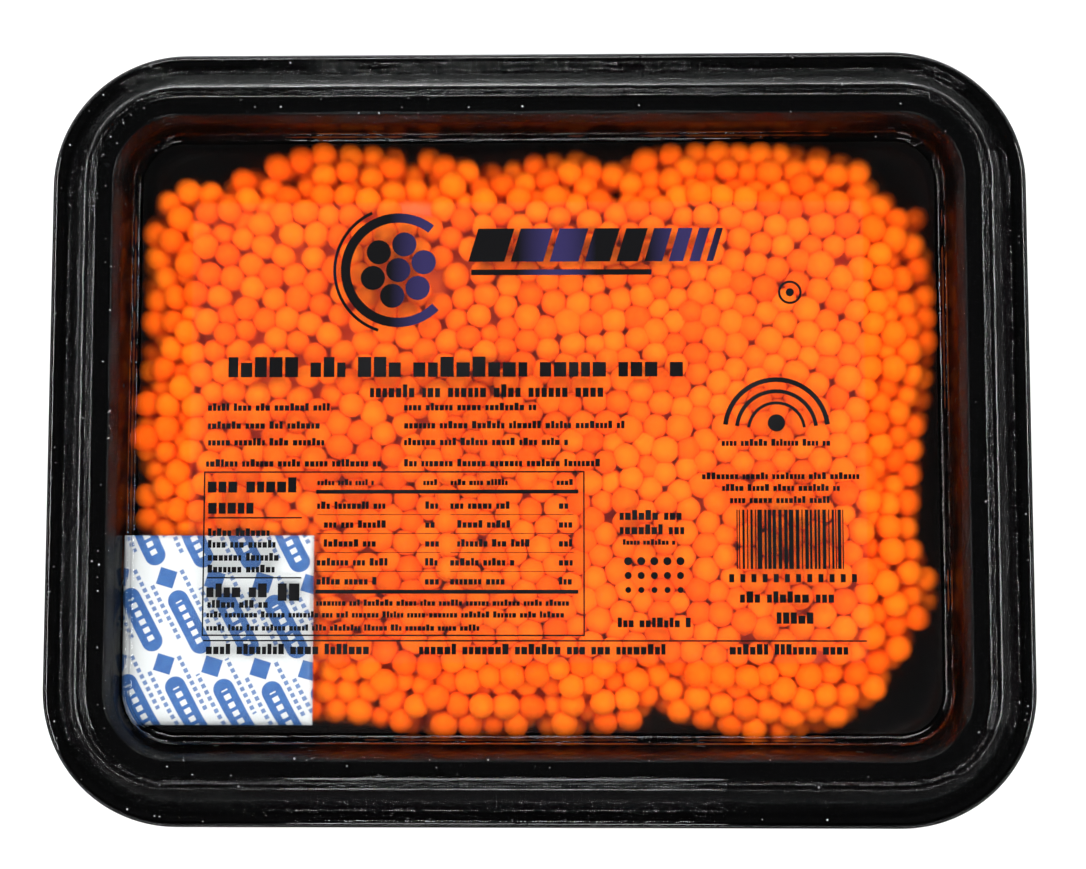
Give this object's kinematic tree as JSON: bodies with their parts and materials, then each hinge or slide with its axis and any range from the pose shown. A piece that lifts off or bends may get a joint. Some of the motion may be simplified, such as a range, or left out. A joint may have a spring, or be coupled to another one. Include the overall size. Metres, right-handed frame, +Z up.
{
  "type": "shut retail tray of salmon roe",
  "caption": "Shallow black plastic tray of loose orange salmon roe under a clear close-fitting lid with a raised rim, a printed film label on the lid and a small white sachet inside",
  "frame": {"origin": "centre of the tray's flat base, on the surface that it rests on", "axes": "+X along the long side, towards the label's right edge; +Y towards the label's top edge; +Z up"},
  "size_m": [0.228, 0.18, 0.026],
  "materials": {
    "tray_plastic": "glossy black thermoformed sheet",
    "lid_plastic": "clear thermoformed sheet, glossy, faintly hazy",
    "roe": "soft translucent orange eggs, satin",
    "sachet_paper": "white laminated paper with blue print",
    "label_film": "clear film with black print"
  },
  "bodies": {
    "root": {"tray": "tray_plastic", "lid": "lid_plastic", "roe": "roe", "sachet": "sachet_paper", "label": "label_film"}
  },
  "joints": []
}
